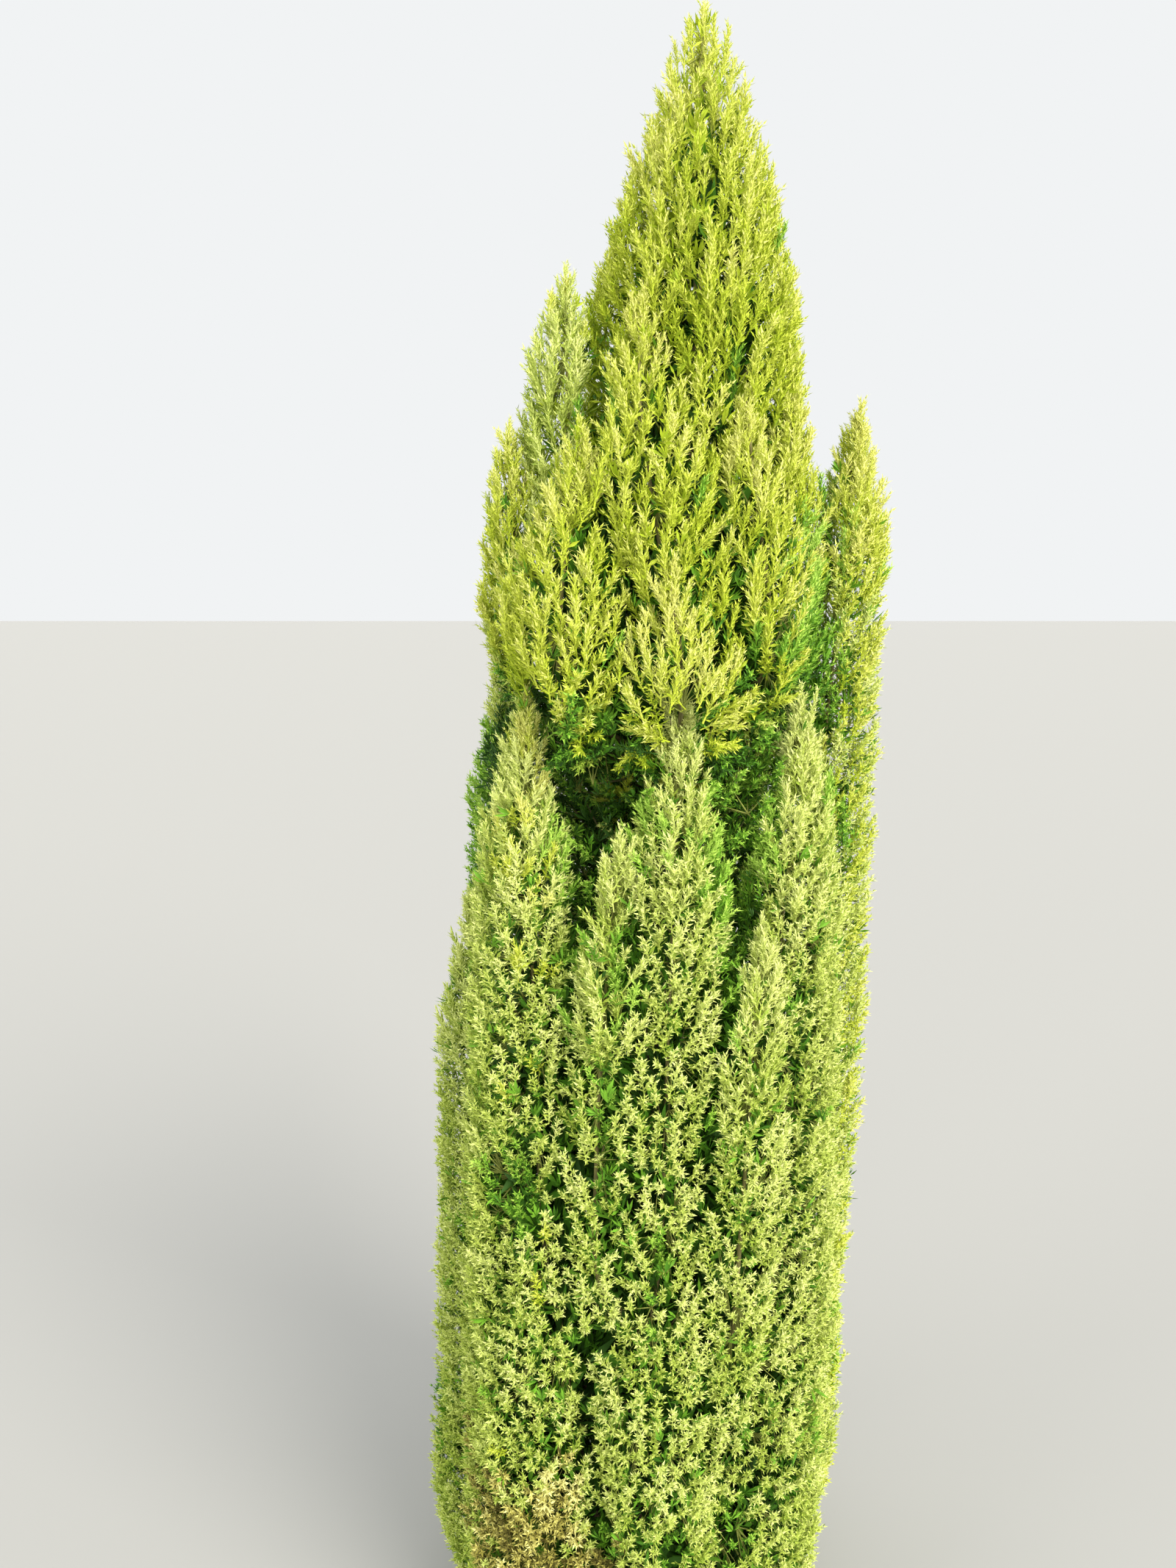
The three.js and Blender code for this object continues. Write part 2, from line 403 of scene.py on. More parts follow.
def bezier(a, b, c, count):
    """Points along a quadratic curve from a to c, drawn towards b."""
    t = np.linspace(0, 1, count)[:, None]
    return (1 - t) ** 2 * np.array(a) + 2 * t * (1 - t) * np.array(b) + t ** 2 * np.array(c)


# The spray's parts, as points, faces and each face's tint step: 0 on the newest growth, higher on older
# growth and in painted shade

def unit(ways):
    return ways / (np.linalg.norm(ways, axis=-1, keepdims=True) + 1e-12)


def frame_along(way):
    """Two directions square to a way and to each other."""
    aside = unit(np.cross(way, (0.0, 0.0, 1.0) if abs(way[2]) < 0.9 else (1.0, 0.0, 0.0)))
    return aside, np.cross(way, aside)


# Where an old leaf is widest and how far its edges fold up, as shares of its length and width
LEAF_WIDEST = 0.56
LEAF_FOLD = 0.22
# The turn round the stem from one shoot to the next, as on most plants
SPIRAL_TURN = math.radians(137.5)
# How far a shoot's lowest leaves are older than its newest, and where along it that starts
LEAF_AGEING = 1.8
NEW_LEAVES_FROM = 0.80
# A spray's stem bends aside by up to this share of its length, and its shoots and old leaves end at these
STEM_BEND = 0.14
LAST_SHOOT = 0.97
LAST_OLD_LEAF = 0.62
STEM_AGE = 2.2
# The old leaves' tint step: partly their age, partly painted shade behind the shoots
OLD_LEAF_AGE_AND_SHADE = 2.9
OLD_LEAF_SLIM = 0.26
INNER_LEAF_SLIM = 0.18


class Block:
    """Loose geometry that grows piece by piece and ends as three arrays."""

    def __init__(self):
        self.points = []
        self.faces = []
        self.ages_and_shade = []
        self.count = 0

    def add(self, points, faces, age_and_shade):
        self.points.append(np.asarray(points, float))
        self.faces.append(np.asarray(faces, int) + self.count)
        self.ages_and_shade.append(np.full(len(faces), age_and_shade, float))
        self.count += len(points)

    def arrays(self):
        return np.vstack(self.points), np.vstack(self.faces), np.concatenate(self.ages_and_shade)


def add_leaf(block, base, way, up, length, width, age_and_shade):
    """One old leaf: a kite folded along its midrib, pointed at its tip."""
    aside = unit(np.cross(way, up))
    folded_up = np.cross(aside, way) * width * LEAF_FOLD
    widest = base + way * length * LEAF_WIDEST
    left = widest + aside * width / 2 + folded_up
    right = widest - aside * width / 2 + folded_up
    block.add([base, right, base + way * length, left], [(0, 1, 2), (0, 2, 3)], age_and_shade)


def add_small_leaf(block, base, way, up, length, width, age_and_shade):
    """One small leaf of a shoot: a single pointed face, broad at its foot."""
    aside = unit(np.cross(way, up)) * width / 2
    block.add([base + aside, base - aside, base + way * length], [(0, 1, 2)], age_and_shade)


def add_core(block, base, tip, radius, age_and_shade):
    """The leafy stem inside a shoot: a slim three-sided spike."""
    aside, other = frame_along(unit(tip - base))
    ring = [
        base + radius * (math.cos(a) * aside + math.sin(a) * other)
        for a in (0, 2 * math.pi / 3, 4 * math.pi / 3)
    ]
    block.add([*ring, tip], [(0, 1, 3), (1, 2, 3), (2, 0, 3)], age_and_shade)


def add_shoot(block, random, base, way, length, style, age_and_shade):
    """A shoot: a slim body with crossed pairs of leaves, newest at its tip."""
    way = unit(way)
    add_core(block, base, base + way * length, style["stem"], age_and_shade + 1.0)
    aside, other = frame_along(way)
    turn = random.uniform(0, math.pi)
    for pair in range(style["pairs"]):
        share = 1 - style["cover"] * (pair + 0.4) / style["pairs"]
        spread = math.radians(style["spread"]) * random.uniform(0.85, 1.15)
        size = style["leaf"] * random.uniform(0.85, 1.15)
        turn += math.pi / 2 + random.uniform(-0.25, 0.25)
        for side in (0, math.pi):
            out = math.cos(turn + side) * aside + math.sin(turn + side) * other
            leaf_way = math.cos(spread) * way + math.sin(spread) * out
            foot = base + way * length * share + out * style["stem"] * 0.4
            older = LEAF_AGEING * (NEW_LEAVES_FROM - share) + random.uniform(-0.5, 0.5)
            add_small_leaf(block, foot, leaf_way, way, size, size * style["slim"], age_and_shade + older)


def spray(random, style):
    """A feathery spray up +Z from its twig: leafy shoots towards +X, its sunny side, old leaves behind."""
    block = Block()
    length = style["length"]
    bend = random.uniform(-STEM_BEND, STEM_BEND, 2) * length

    def along(share):
        return np.array([bend[0] * share ** 2, bend[1] * share ** 2, length * share])

    def way_out(azimuth, lean):
        out = np.array([math.cos(azimuth), math.sin(azimuth), 0])
        return out * math.sin(lean) + np.array([0, 0, math.cos(lean)])

    count = style["shoots"]
    turn = random.uniform(0, 2 * math.pi)
    for order in range(count):
        share = style["from"] + (LAST_SHOOT - style["from"]) * (order + 0.5) / count
        turn += SPIRAL_TURN + random.uniform(-0.3, 0.3)
        azimuth = math.remainder(turn, 2 * math.pi) * style["wrap"]
        lean = math.radians(style["angle"]) * (1.15 - 0.5 * share) * random.uniform(0.75, 1.25)
        reach = style["side"] * (1.1 - style["narrows"] * share) * random.uniform(0.75, 1.2)
        # Painted shade: shoots turned from +X, the spray's sunny outside, take later, darker tint steps
        age_and_shade = style["fades"] * (1 - share) + 0.3 * (1 - math.cos(azimuth)) + random.uniform(-0.5, 0.5)
        add_shoot(block, random, along(share), way_out(azimuth, lean), reach, style, age_and_shade)
    top = along(style["top"])
    add_shoot(block, random, top, along(1.0) - top, length * (1 - style["top"]), style, 0)
    add_core(block, along(0), along(0.9), style["stem"] * 0.9, STEM_AGE)
    for order in range(style["old"]):
        azimuth = math.remainder(order * SPIRAL_TURN, 2 * math.pi)
        share = LAST_OLD_LEAF * (order + random.uniform(0, 1)) / style["old"]
        way = way_out(azimuth, math.radians(random.uniform(42, 84)))
        reach = style["old_leaf"] * (0.78 - 0.22 * math.cos(azimuth)) * random.uniform(0.8, 1.15)
        face = np.array([1, random.normal(0, 0.4), random.normal(0, 0.4)])
        age_and_shade = OLD_LEAF_AGE_AND_SHADE + random.uniform(-0.7, 0.9)
        add_leaf(block, along(share), way, face, reach, reach * OLD_LEAF_SLIM, age_and_shade)
    return block.arrays()


def inner_fan(random):
    """Old foliage in the shade: a loose fan of long leaves that turn their flat sides outwards."""
    block = Block()
    for _ in range(FAN_LEAVES):
        turn = random.uniform(0, 2 * math.pi)
        lean = math.radians(FAN_SPREAD) * random.uniform(0.2, 1.2)
        way = np.array([math.cos(turn) * math.sin(lean), math.sin(turn) * math.sin(lean), math.cos(lean)])
        length = FAN_LEAF * random.uniform(0.65, 1.1)
        face = np.array([1, random.normal(0, 0.35), random.normal(0, 0.35)])
        age_and_shade = random.uniform(0, 1.2)
        add_leaf(block, way * length * 0.08, way, face, length, length * INNER_LEAF_SLIM, age_and_shade)
    return block.arrays()


# The four kinds of spray: slender upright ones for the upper crown and the spires' tips, bushy ones for the
# lower crown, the loose fringe under the upper crown, and the thin ones of the dead patch.
# First line: the spray's length, its shoots, where along it they start, their angle to the stem in degrees,
# their reach, how far that narrows upwards and how much of a full turn they take up. Second line: a shoot's
# stem radius, its pairs of leaves, how much of it they cover, their angle to it, their length and slimness.
# Third line: how far the foot is older than the top, where the top shoot starts, and the foot's old leaves
SHOOT = {
    "length": 0.047, "shoots": 12, "from": 0.16, "angle": 30, "side": 0.0165, "narrows": 0.30, "wrap": 0.74,
    "stem": 0.0015, "pairs": 4, "cover": 0.92, "spread": 32, "leaf": 0.0062, "slim": 0.36,
    "fades": 0.9, "top": 0.70, "old": 3, "old_leaf": 0.017,
}
BUSHY = {
    "length": 0.034, "shoots": 12, "from": 0.12, "angle": 42, "side": 0.0105, "narrows": 0.30, "wrap": 0.78,
    "stem": 0.0011, "pairs": 2, "cover": 0.72, "spread": 34, "leaf": 0.0050, "slim": 0.44,
    "fades": 0.9, "top": 0.72, "old": 3, "old_leaf": 0.014,
}
FRINGE = {
    "length": 0.066, "shoots": 16, "from": 0.14, "angle": 50, "side": 0.0160, "narrows": 0.45, "wrap": 0.72,
    "stem": 0.0013, "pairs": 3, "cover": 0.85, "spread": 42, "leaf": 0.0056, "slim": 0.44,
    "fades": 0.8, "top": 0.84, "old": 5, "old_leaf": 0.018,
}
DRY = {
    "length": 0.046, "shoots": 17, "from": 0.14, "angle": 50, "side": 0.0130, "narrows": 0.40, "wrap": 0.72,
    "stem": 0.0012, "pairs": 2, "cover": 0.60, "spread": 40, "leaf": 0.0058, "slim": 0.46,
    "fades": 0.7, "top": 0.80, "old": 7, "old_leaf": 0.016,
}
STYLES = (SHOOT, BUSHY, FRINGE, DRY)
SHOOT_STYLE, BUSHY_STYLE, FRINGE_STYLE, DRY_STYLE = range(len(STYLES))
VARIANTS = 12
# A fan of old leaves: how many, their spread in degrees and their mean length
FAN_LEAVES = 6
FAN_SPREAD = 48
FAN_LEAF = 0.027

# Sprays and plumes: the distance between sprays, how many looks from each place tell how open it is and the
# least share of them that makes it the outside, and the width and height of the share that a lateral feeds
UPPER_SPACING = 0.0168
LOWER_SPACING = 0.0142
SURFACE_TRIES = 5
LOOK_SPREAD = 0.6
LOOK_LEAST_OUT = 0.08
SPRAY_LOOKS = 16
PLUME_LOOKS = 12
LEAST_OPEN = 0.07
UPPER_PLUME = (0.046, 0.120)
LOWER_PLUME = (0.036, 0.110)
OUTSIDE_SPACING = 0.012
OUTSIDE_LOOKS = 8
# The height of the fringe under an upper mass, how far its sprays droop, and what counts as an underside
FRINGE_HEIGHT = 0.13
FRINGE_DROOP = 0.25
UNDERSIDE = -0.45
# How much sprays lean out at a mass's tip, and how much more this far under it
UPPER_LEAN = (0.20, 0.25)
LOWER_LEAN = (0.24, 0.42)
NEAR_TIP = 0.35
# Folds between masses: below this openness sprays come forward, by up to this, but stay this near a mass
FOLD_OPEN = 0.55
FOLD_FILL = 0.030
FOLD_REACH = 0.010
# The rings of sprays at a mass's tip: how far under it, how many, and their tilt in degrees
CREST_LEVELS = ((0.0, 1, 2), (0.016, 3, 12), (0.034, 5, 15), (0.058, 6, 17))
MAIN_CREST_LEVELS = ((0.0, 1, 2), (0.020, 3, 7), (0.042, 4, 10), (0.066, 5, 13), (0.092, 7, 15))
# Fans inside the masses: how many for each cubic metre, the depths they fill, the share of them that stays
# deeper than that, the depth at which a fan has its own size and the limits of its growth with depth
UPPER_INNER_EACH = 74000
LOWER_INNER_EACH = 56000
INNER_DEPTHS = (0.010, 0.075)
INNER_CORE = 0.20
FULL_SIZE_DEPTH = 0.034
INNER_SIZES = (0.75, 2.4)
# Fans between the masses: where they are tried and how often, the looks that tell how closed in a place is
# with their length and rise, the share that closes it, more where no mass is further out, and their sizes
GAPS_LOW = np.array([-0.25, -0.25, 0.45])
GAPS_HIGH = np.array([0.29, 0.25, 1.80])
GAP_TRIES = 36000
HOLLOW_TRIES = 600
GAP_LOOKS = 12
GAP_WIDTH = 0.13
GAP_LOOK_RISE = 0.15
GAP_CLOSED = 0.5
GAP_CLOSED_MORE = 0.15
GAP_SIZES = (0.4, 0.95)
UNCOVERED_SIZE = 0.7
# The green branches round the trunk under the upper crown: their heights, their reach and how close they are
COLLAR_HEIGHTS = (1.08, 1.34)
COLLAR_REACH = 0.205
COLLAR_TRIES = 6000
COLLAR_SPACING = 0.032
COLLAR_LATERAL_SPACING = 0.075
# Limbs keep this deep inside the crown, up to this share of the way down from their tips, and twigs' feet and
# leaves stay this high above the ground
LIMB_DEPTH = 0.034
LIMB_DEEPENING = 0.22
TWIG_FOOT_HEIGHT = 0.012
GROUND_CLEARANCE = 0.004
# Laterals and twigs: how much lower a lateral starts for each metre of its reach, how far under its point it
# stops, inwards and down, how it thickens with its length, and their radii
LATERAL_RISE = 0.75
LATERAL_SHORT = 0.040
LATERAL_BELOW = 0.03
LATERAL_FOOT = 0.0013
LATERAL_THICKENING = 0.008
LATERAL_TIP = 0.0010
TWIG_RADII = (0.0013, 0.0008)
# By how many tints a spray is older by chance and by its branch, or younger near a tip and low down, darker
# as painted shade in a fold, in the fringe, at the foot near the ground and away from the key light, partly
# older and partly in painted shade low in its plume or beside its middle, and lighter as painted light in the
# sun low down
AGE_SPREAD = 0.45
FOLD_SHADE_STEPS = 1.0
BRANCH_AGE = 0.25
TIP_YOUTH = 1.2
BELOW_AGE_AND_SHADE = 1.0
ASIDE_AGE_AND_SHADE = 0.6
FRINGE_SHADE_STEPS = 2.1
OTHER_AGE = 0.1
FOOT_SHADE_STEPS = 0.7
FOOT_SHADE = 0.50
FOOT_BLEND = 0.20
AWAY_SHADE_STEPS = (1.1, 0.9)
LOWER_YOUTH = 0.20
SUNNY_LIGHT_STEPS = 0.50
# The step at which a spray of mean age starts in its list, what counts as shaded and as dead, and how many
# steps the shaded, the flanks and the dead patch are off that
LIST_START_AGE = 1
SHADED_FROM = 0.48
SHADE_LIST_YOUTH = 1
FLANK_SHADE_STEPS = 0.5
FLANK_EDGE = 0.9
DEAD_EDGE = 0.85
DRY_YOUTH = 0.4
# How golden each of these makes a spray, and how much less so a fold and the fringe: golder in the sun and
# greener in the shade, partly the plant's own growth and partly painted light and shade
BRANCH_GOLD = 0.10
SUNNY_GOLD = 0.15
TIP_GOLD = 0.45
GOLD_SPREAD = 0.16
FOLD_GREEN = 0.5
FRINGE_GREEN = 0.35
# How old fans are, their later steps partly age and partly painted shade: just inside a mass and how much
# more deep inside, between masses, and more as painted shade in the hollows and the dark slots
INNER_AGES_AND_SHADE = (1.3, 2.2)
GAP_AGE_AND_SHADE = 1.8
HOLLOW_SHADE_STEPS = 2

# Regions of the crown, each as a middle and half sizes: the dead patch low at the left front
DEAD_PATCH = ((-0.135, -0.22, 0.27), (0.095, 0.12, 0.15))
# The old growth round the trunk under the upper crown, and the hollows left and right of it, where the fans
# are darkened as painted shade
HOLLOWS = [
    ((0.02, 0, 1.20), (0.14, 0.14, 0.20)),
    ((-0.145, -0.05, 1.25), (0.045, 0.08, 0.12)),
    ((0.205, 0.03, 1.30), (0.030, 0.06, 0.12)),
]
# The notch beside the right spire's tip, which stays open
RIGHT_NOTCH = ((0.205, 0.00, 1.68), (0.050, 0.12, 0.08))
# The flanks in the upper crown's shade, where sprays take the green shade tints, darker by more steps, as
# painted shade
SHADY_FLANKS = [
    ((-0.215, 0.03, 1.23), (0.075, 0.12, 0.17)),
    ((0.195, -0.06, 1.42), (0.040, 0.12, 0.17)),
    ((0.110, -0.15, 1.20), (0.045, 0.10, 0.13)),
]
# The short dark slots between the spires, where the sprays stand back by up to this, smaller, and darker as
# painted shade
SLOT_DEPTH = 0.030
SLOT_SIZE = 0.85
DARK_SLOTS = [
    ((-0.035, -0.24, 1.100), (0.024, 0.055, 0.110)),
    ((-0.047, -0.25, 0.940), (0.020, 0.045, 0.050)),
    ((-0.150, -0.22, 0.800), (0.046, 0.050, 0.066)),
    ((-0.046, -0.25, 0.840), (0.016, 0.045, 0.060)),
    ((0.018, -0.27, 0.720), (0.020, 0.045, 0.050)),
    ((0.119, -0.18, 1.110), (0.024, 0.055, 0.105)),
    ((0.100, -0.12, 1.700), (0.012, 0.045, 0.060)),
    ((-0.058, -0.09, 1.700), (0.016, 0.060, 0.085)),
    ((-0.060, -0.16, 1.250), (0.045, 0.080, 0.050)),
    ((-0.210, -0.10, 1.020), (0.024, 0.060, 0.100)),
    ((0.040, -0.27, 0.330), (0.022, 0.045, 0.050)),
    ((-0.050, -0.27, 0.345), (0.020, 0.045, 0.040)),
    ((0.130, -0.25, 0.350), (0.022, 0.045, 0.050)),
]
# The points of the left and centre front spires, which stand clear of the upper crown's fringe
SHOWN_TIPS = [
    ((-0.140, -0.185, 1.330), (0.040, 0.075, 0.090)),
    ((0.042, -0.225, 1.325), (0.038, 0.070, 0.070)),
]


# Placing copies of a spray and joining them

def turned_to(ways, fronts, turns):
    """Rotation matrices that carry +Z to each way and +X to its front, turned about it by each angle."""
    z = unit(ways)
    x = unit(fronts - (fronts * z).sum(axis=1, keepdims=True) * z)
    y = np.cross(z, x)
    c = np.cos(turns)[:, None]
    s = np.sin(turns)[:, None]
    return np.stack([c * x + s * y, c * y - s * x, z], axis=2)


def placed(variant, places, matrices, sizes, ages_and_shade):
    """Copies of one spray's arrays, each face's tint step, for its age and painted shade, worked out from its
    own and its copy's.
    """
    points, faces, own_ages_and_shade = variant
    moved = np.einsum("nij,pj->npi", matrices * sizes[:, None, None], points) + places[:, None, :]
    corners = faces[None] + (np.arange(len(places)) * len(points))[:, None, None]
    age_and_shade = own_ages_and_shade[None] + ages_and_shade[:, None]
    return moved.reshape(-1, 3), corners.reshape(-1, 3), age_and_shade.reshape(-1)


def copied(variants, picked, places, matrices, sizes, ages_and_shade, tint_of):
    """Blocks of spray copies, the picked ones shared out over the variants."""
    blocks = []
    order = np.arange(len(places))
    for number, variant in enumerate(variants):
        mine = picked & (order % len(variants) == number)
        if mine.any():
            points, faces, age_and_shade = placed(variant, places[mine], matrices[mine], sizes[mine], ages_and_shade[mine])
            blocks.append((points, faces, tint_of(age_and_shade, np.repeat(order[mine], len(variant[1])))))
    return blocks


def tube(line, radii, sides):
    """A thin tapering tube along a line, open at its buried foot and pointed at its tip."""
    ways = np.gradient(line, axis=0)
    aside = unit(np.cross(ways, (0.31, 0.17, 0.93)))
    other = unit(np.cross(ways, aside))
    angles = np.linspace(0, 2 * math.pi, sides, endpoint=False)
    rings = [
        line[i] + radii[i] * (np.cos(angles)[:, None] * aside[i] + np.sin(angles)[:, None] * other[i])
        for i in range(len(line) - 1)
    ]
    points = np.vstack([*rings, line[-1:]])
    faces = []
    for ring in range(len(line) - 2):
        for side in range(sides):
            a = ring * sides + side
            b = ring * sides + (side + 1) % sides
            faces += [(a, b, b + sides), (a, b + sides, a + sides)]
    last = (len(line) - 2) * sides
    faces += [(last + side, last + (side + 1) % sides, len(points) - 1) for side in range(sides)]
    return points, np.array(faces)


def joined(name, blocks, materials, node):
    """One mesh piece from blocks of points, faces and material numbers."""
    points, faces, numbers = zip(*blocks)
    starts = np.cumsum([0] + [len(part) for part in points[:-1]])
    faces = np.vstack([part + start for part, start in zip(faces, starts)]).astype(np.int32)
    points = np.vstack(points).astype(np.float32)
    points[:, 2] = np.maximum(points[:, 2], GROUND_CLEARANCE)
    numbers = np.concatenate(numbers).astype(np.int32)
    used = np.unique(numbers)
    mesh = bpy.data.meshes.new(name)
    mesh.vertices.add(len(points))
    mesh.vertices.foreach_set("co", points.ravel())
    mesh.loops.add(faces.size)
    mesh.loops.foreach_set("vertex_index", faces.ravel())
    mesh.polygons.add(len(faces))
    mesh.polygons.foreach_set("loop_start", np.arange(0, faces.size, 3, dtype=np.int32))
    mesh.polygons.foreach_set("material_index", np.searchsorted(used, numbers).astype(np.int32))
    for number in used:
        mesh.materials.append(materials[number])
    mesh.update(calc_edges=True)
    mesh.shade_smooth()
    piece = bpy.data.objects.new(name, mesh)
    bpy.context.scene.collection.objects.link(piece)
    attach(piece, "root")
    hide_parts(node)


# Where foliage grows on a mass

def spread_out(points, spacing):
    """The numbers of the points that stay when each keeps that distance from the ones before it."""
    kept = []
    cells = {}
    for i, (x, y, z) in enumerate((points // spacing).astype(int).tolist()):
        near = [
            j
            for dx in (-1, 0, 1) for dy in (-1, 0, 1) for dz in (-1, 0, 1)
            for j in cells.get((x + dx, y + dy, z + dz), ())
        ]
        if not near or ((points[near] - points[i]) ** 2).sum(axis=1).min() >= spacing ** 2:
            kept.append(i)
            cells.setdefault((x, y, z), []).append(i)
    return kept


def surface_points(triangles, spacing, random):
    """Points spread evenly over a solid's faces, with their normals."""
    sides = np.cross(triangles[:, 1] - triangles[:, 0], triangles[:, 2] - triangles[:, 0])
    areas = np.linalg.norm(sides, axis=1) / 2
    wanted = int(areas.sum() / spacing ** 2 * SURFACE_TRIES)
    chosen = random.choice(len(triangles), wanted, p=areas / areas.sum())
    a, b = random.random((2, wanted))
    over = a + b > 1
    a[over] = 1 - a[over]
    b[over] = 1 - b[over]
    first, second, third = triangles[chosen].transpose(1, 0, 2)
    points = first + a[:, None] * (second - first) + b[:, None] * (third - first)
    kept = spread_out(points, spacing)
    return points[kept], unit(sides[chosen])[kept]


def openness(points, normals, looks, random):
    """The share of looks outwards from each point that meet no mass of the crown."""
    found = np.zeros(len(points))
    ways = unit(normals[:, None, :] + random.normal(0, LOOK_SPREAD, (len(points), looks, 3)))
    inwards = (ways * normals[:, None, :]).sum(axis=2) < LOOK_LEAST_OUT
    ways[inwards] = np.broadcast_to(normals[:, None, :], ways.shape)[inwards]
    starts = points + normals * 0.002
    for i in range(len(points)):
        start = Vector(starts[i])
        found[i] = sum(crown_tree.ray_cast(start, Vector(way))[0] is None for way in ways[i]) / looks
    return found


def plume_points(triangles, wide, tall, random):
    """Points spread over a mass's open outside, further apart upwards than sideways: its laterals' tips."""
    squash = np.array([1, 1, wide / tall])
    points, normals = surface_points(triangles * squash, wide, random)
    points, normals = points / squash, unit(normals * squash)
    shown = openness(points, normals, PLUME_LOOKS, random) > LEAST_OPEN
    return points[shown] if shown.any() else points[:1]


def hearts_of(points, spine):
    """The spine's point at each point's height."""
    z = np.maximum.accumulate(spine[:, 2])
    return np.stack([np.interp(points[:, 2], z, spine[:, k]) for k in range(3)], axis=1)


def outward_of(points, normals, spine):
    """Which way a mass's outside faces at each point, mostly level."""
    away = (points - hearts_of(points, spine)) * (1, 1, 0)
    return unit(unit(away) * 0.6 + normals * (1, 1, 0.4))


def patches(places, random):
    """A slow wander over the crown, mostly -1 to 1, by which whole branches differ."""
    x, y, z = places.T
    turns = random.uniform(0, 2 * math.pi, 3)
    return (np.sin(31 * x + 17 * z + turns[0]) + np.sin(27 * y - 13 * z + turns[1])
            + np.sin(41 * z + 9 * x + turns[2])) / 2


def how_far_off(points, region):
    """How far each point is from a region's middle, where 1 is its edge."""
    middle, half = region
    return np.sqrt((((points - middle) / half) ** 2).sum(axis=1))


def in_any(points, regions):
    """Which points are inside one of the regions."""
    return np.any([how_far_off(points, region) < 1 for region in regions], axis=0)


def tree_of(triangles):
    """The triangles as a tree that looks are cast against."""
    corners = triangles.reshape(-1, 3)
    return BVHTree.FromPolygons(corners.tolist(), np.arange(len(corners)).reshape(-1, 3).tolist())


def is_inside(tree, points):
    """Which points are inside a solid: every look from them meets the back of a face."""
    looks = [Vector(way) for way in ((1, 0.02, 0.01), (-0.7, 0.7, 0.03), (0.02, -0.9, 0.4))]
    inside = np.zeros(len(points), bool)
    for i, point in enumerate(points):
        met = [(tree.ray_cast(Vector(point), look), look) for look in looks]
        inside[i] = all(hit[0] is not None and hit[1].dot(look) > 0 for hit, look in met)
    return inside


def depth_of(points):
    """How far each point is from the crown's open outside."""
    return np.array([open_points.find(Vector(point))[2] for point in points])


def sheltered(line):
    """The line moved towards the trunk wherever it runs close under the open outside."""
    moved = line.copy()
    for i, (point, depth) in enumerate(zip(line, depth_of(line))):
        wanted = min(LIMB_DEPTH, LIMB_DEEPENING * max(0, line[-1, 2] - point[2]))
        inward = (at_height(trunk_line, point[2]) - point) * (1, 1, 0)
        if depth < wanted and np.linalg.norm(inward) > 0.02:
            moved[i] += unit(inward) * (wanted - depth)
    moved[1:-1] = (moved[:-2] + 2 * moved[1:-1] + moved[2:]) / 4
    return moved


# Growing one mass

class Sprays:
    """Sprays as rows: tips, ways, outward sides, how open their places are (free), how far below the tip they
    are (to_top), whether they hang under the mass, styles, sizes, and each one's plume and place in it."""

    def __init__(self, **columns):
        self.__dict__.update(columns)

    def extend(self, **columns):
        for name, rows in columns.items():
            mine = getattr(self, name)
            setattr(self, name, np.vstack([mine, rows]) if mine.ndim == 2 else np.append(mine, rows))

    def bases(self):
        lengths = np.array([style["length"] for style in STYLES])[self.styles] * self.sizes
        bases = self.tips - self.ways * lengths[:, None]
        bases[:, 2] = np.maximum(bases[:, 2], TWIG_FOOT_HEIGHT)
        return bases


def surface_sprays(node, triangles, spine, random):
    """Sprays that end on a mass's open outside: steep high in the crown and near a tip, bushier low down."""
    upper = node in UPPER_MASSES
    tips, normals = surface_points(triangles, UPPER_SPACING if upper else LOWER_SPACING, random)
    free = openness(tips, normals, SPRAY_LOOKS, random)
    shown = in_any(tips, SHOWN_TIPS)
    # Upper sprays there are dropped; lower ones count as open, so they are kept, stay in place and escape the
    # painted shade of the folds
    free[shown] = 0 if upper else np.maximum(free[shown], 0.6)
    keep = free > LEAST_OPEN
    tips, normals, free = tips[keep], normals[keep], free[keep]
    outward = outward_of(tips, normals, spine)
    to_top = np.clip((spine[-1, 2] - tips[:, 2]) / NEAR_TIP, 0, 1)
    at_tip, more = UPPER_LEAN if upper else LOWER_LEAN
    lean = (at_tip + more * to_top) * random.uniform(0.6, 1.4, len(tips))
    ways = unit(outward * lean[:, None] + (0, 0, 1))
    under = normals[:, 2] < UNDERSIDE
    if upper:
        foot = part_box(node)[0].z
        raised = np.clip((tips[:, 2] - foot) / FRINGE_HEIGHT, 0, 1)[:, None]
        ways = ways * raised + unit(outward * (1, 1, 0) - (0, 0, FRINGE_DROOP)) * (1 - raised)
        under |= raised[:, 0] < random.uniform(0.2, 0.8, len(tips))
    else:
        ways[under] = outward[under] * (1, 1, 0) + (0, 0, -0.15)
    ways = unit(ways + random.normal(0, 0.13 if upper else 0.08, ways.shape))
    slender = upper | (to_top < random.uniform(0.1, 0.9, len(tips)))
    styles = np.where(under, FRINGE_STYLE, np.where(slender, SHOOT_STYLE, BUSHY_STYLE))
    sizes = random.uniform(0.85, 1.15, len(tips)) * np.where(to_top < 0.2, 0.75, 1)
    sizes *= np.where(free < 0.25, 1.15, 1)
    return Sprays(
        tips=tips, ways=ways, outward=outward, free=free, to_top=to_top, under=under, styles=styles,
        sizes=sizes)


